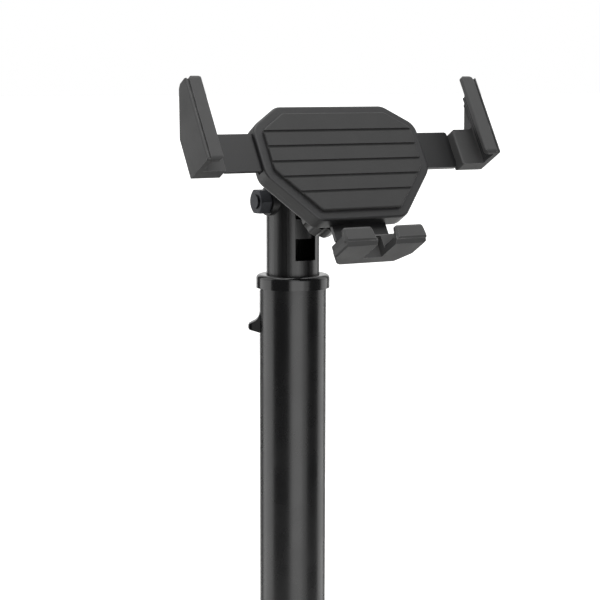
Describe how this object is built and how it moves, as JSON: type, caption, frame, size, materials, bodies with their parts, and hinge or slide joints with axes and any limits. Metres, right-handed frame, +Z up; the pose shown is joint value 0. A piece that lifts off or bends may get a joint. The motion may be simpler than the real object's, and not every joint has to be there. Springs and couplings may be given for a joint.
{
  "type": "adjustable tablet floor stand",
  "caption": "Black floor stand with a round weighted base, a telescopic pole with a release lever, and a tilting, turning holder with side jaws and a bottom jaw for a tablet.",
  "frame": {"origin": "on the floor, on the pole's axis, at the middle of the round base", "axes": "+Z up along the pole; the holder faces the front, which is -Y; +X is to the right as the holder is seen from the front"},
  "size_m": [0.3, 0.3, 0.8067],
  "materials": {
    "black_steel_paint": "satin",
    "foot_rubber": "matt",
    "zinc_plate": "plated",
    "trim_plastic": "satin moulded",
    "spring_steel": "bright",
    "brake_rubber": "matt",
    "natural_nylon": "matt",
    "plug_plastic": "matt",
    "black_casting": "satin",
    "black_steel": "black plated",
    "strip_steel": "plated",
    "shell_plastic": "fine texture",
    "jaw_plastic": "fine texture",
    "soft_rubber": "matt",
    "insert_brass": "turned",
    "gear_plastic": "matt",
    "knob_plastic": "satin moulded"
  },
  "bodies": {
    "stand": {"base_plate": "black_steel_paint", "rubber_feet": "foot_rubber", "foot_plug": "zinc_plate", "post_bolt": "zinc_plate", "post_washer": "zinc_plate", "foot_locating_pin": "zinc_plate", "foot_trim_ring": "trim_plastic", "outer_tube": "black_steel_paint", "guide_collar": "trim_plastic", "collar_screws": "zinc_plate", "lever_pin": "zinc_plate", "lever_spring": "spring_steel"},
    "release_lever": {"release_lever": "trim_plastic", "brake_pad": "brake_rubber"},
    "glide": {"lower_glide": "natural_nylon"},
    "mast": {"mast_foot_plug": "plug_plastic", "mast_tube": "black_steel_paint", "mast_head": "black_casting", "tilt_bolt": "black_steel", "tilt_nut": "black_steel", "saddle_washers": "black_steel", "tilt_friction_washers": "natural_nylon"},
    "tilt_arm": {"tilt_arm": "black_casting", "spin_bolt": "zinc_plate", "spin_spring_washer": "zinc_plate", "spin_friction_disc": "natural_nylon"},
    "holder": {"rear_shell": "shell_plastic", "front_cover": "shell_plastic", "back_pad": "soft_rubber", "shell_screws": "zinc_plate", "knob_inserts": "insert_brass", "side_clamp_plate": "zinc_plate"},
    "pinion": {"pinion": "gear_plastic"},
    "left_arm": {"left_arm_rack": "strip_steel", "left_jaw": "jaw_plastic", "left_jaw_pad": "soft_rubber", "left_jaw_screws": "zinc_plate"},
    "right_arm": {"right_arm_rack": "strip_steel", "right_jaw": "jaw_plastic", "right_jaw_pad": "soft_rubber", "right_jaw_screws": "zinc_plate"},
    "bottom_arm": {"bottom_arm": "strip_steel", "bottom_jaw": "jaw_plastic", "bottom_jaw_pads": "soft_rubber", "bottom_jaw_screws": "zinc_plate"},
    "side_knob": {"side_lock_knob": "knob_plastic", "side_lock_stud": "zinc_plate"},
    "bottom_knob": {"bottom_lock_knob": "knob_plastic", "bottom_lock_stud": "zinc_plate"}
  },
  "joints": [
    {"name": "lever_press", "type": "hinge", "parent": "stand", "child": "release_lever", "pos_m": [-0.01464, 0.00845, 0.6755], "axis": [-0.5, -0.866, 0], "range_deg": [0, 5], "stiffness_Nm_per_rad": 0.8, "springref_deg": -2.86, "deforming": ["lever_spring"]},
    {"name": "height_slide", "type": "slide", "parent": "stand", "child": "glide", "axis": [0, 0, 1], "range_m": [0, 0.45]},
    {"name": "mast_turn", "type": "hinge", "parent": "glide", "child": "mast", "pos_m": [0, 0, 0.06], "axis": [0, 0, 1], "continuous": true},
    {"name": "tilt", "type": "hinge", "parent": "mast", "child": "tilt_arm", "pos_m": [0, 0, 0.7378], "axis": [1, 0, 0], "range_deg": [-59, 30.7]},
    {"name": "holder_turn", "type": "hinge", "parent": "tilt_arm", "child": "holder", "pos_m": [0, -0.05328, 0.76951], "axis": [0, -0.8593, 0.5114], "continuous": true},
    {"name": "left_arm_slide", "type": "slide", "parent": "holder", "child": "left_arm", "axis": [-1, 0, 0], "range_m": [-0.018, 0.02]},
    {"name": "right_arm_slide", "type": "slide", "parent": "holder", "child": "right_arm", "axis": [1, 0, 0], "range_m": [-0.018, 0.02]},
    {"name": "pinion_turn", "type": "hinge", "parent": "holder", "child": "pinion", "pos_m": [0, -0.05328, 0.76951], "axis": [0, -0.8593, 0.5114], "range_deg": [-172.5, 191.5]},
    {"name": "bottom_arm_slide", "type": "slide", "parent": "holder", "child": "bottom_arm", "axis": [0, -0.5114, -0.8593], "range_m": [-0.0075, 0.03]},
    {"name": "side_knob_turn", "type": "hinge", "parent": "holder", "child": "side_knob", "pos_m": [0.035, -0.05328, 0.76951], "axis": [0, 0.8593, -0.5114], "range_deg": [0, 360]},
    {"name": "bottom_knob_turn", "type": "hinge", "parent": "holder", "child": "bottom_knob", "pos_m": [-0.0128, -0.06913, 0.74287], "axis": [0, 0.8593, -0.5114], "range_deg": [0, 360]}
  ],
  "couplings": [
    {"joint": "right_arm_slide", "follows": "left_arm_slide", "ratio": 1},
    {"joint": "pinion_turn", "follows": "left_arm_slide", "rad_per_m": 166.67}
  ]
}
